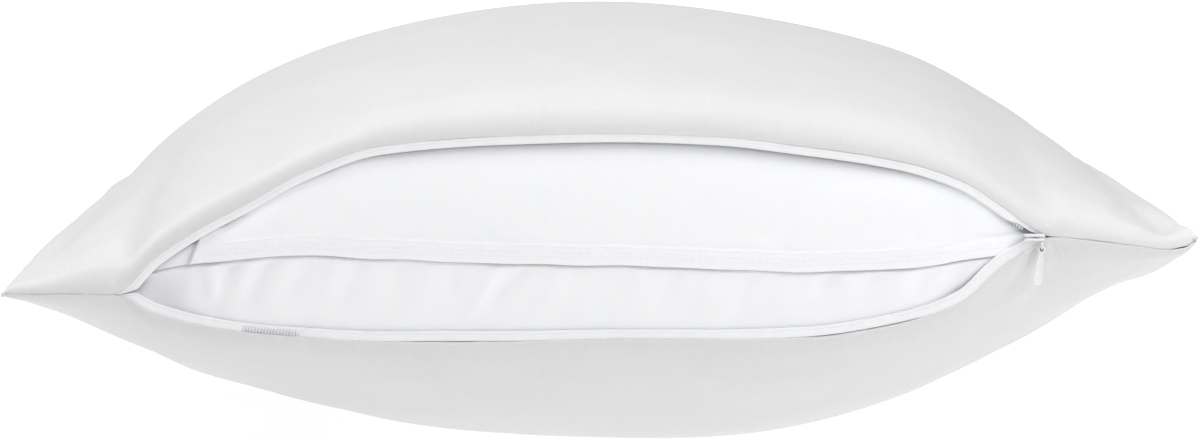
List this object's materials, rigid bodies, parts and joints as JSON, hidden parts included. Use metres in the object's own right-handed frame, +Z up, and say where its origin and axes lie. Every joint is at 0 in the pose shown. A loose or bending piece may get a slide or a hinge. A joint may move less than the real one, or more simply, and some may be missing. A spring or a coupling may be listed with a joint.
{
  "type": "cushion cover",
  "caption": "Plump square cushion in a plain satin cover whose concealed edge zip stands open on a cotton inner pad, with a small slider and drop-shaped pull.",
  "frame": {"origin": "on the surface that carries the cushion, under the middle of its plan", "axes": "+Z up through the crown, -Y towards the zip edge, +X the way the zip closes"},
  "size_m": [0.428, 0.416, 0.1639],
  "materials": {
    "satin": "fine satin weave with a soft sheen",
    "pad_cotton": "matt plain weave cotton",
    "zip_tape": "woven polyester tape, matt",
    "coil_nylon": "drawn monofilament, slightly glossy",
    "white_enamel": "white baked enamel, semi-gloss"
  },
  "bodies": {
    "root": {"cover_top_panel": "satin", "cover_bottom_panel": "satin", "zip_tape_upper": "zip_tape", "zip_tape_lower": "zip_tape", "zip_coil_upper": "coil_nylon", "zip_coil_lower": "coil_nylon", "zip_slider": "white_enamel", "zip_pull": "white_enamel", "inner_pad": "pad_cotton"}
  },
  "joints": []
}
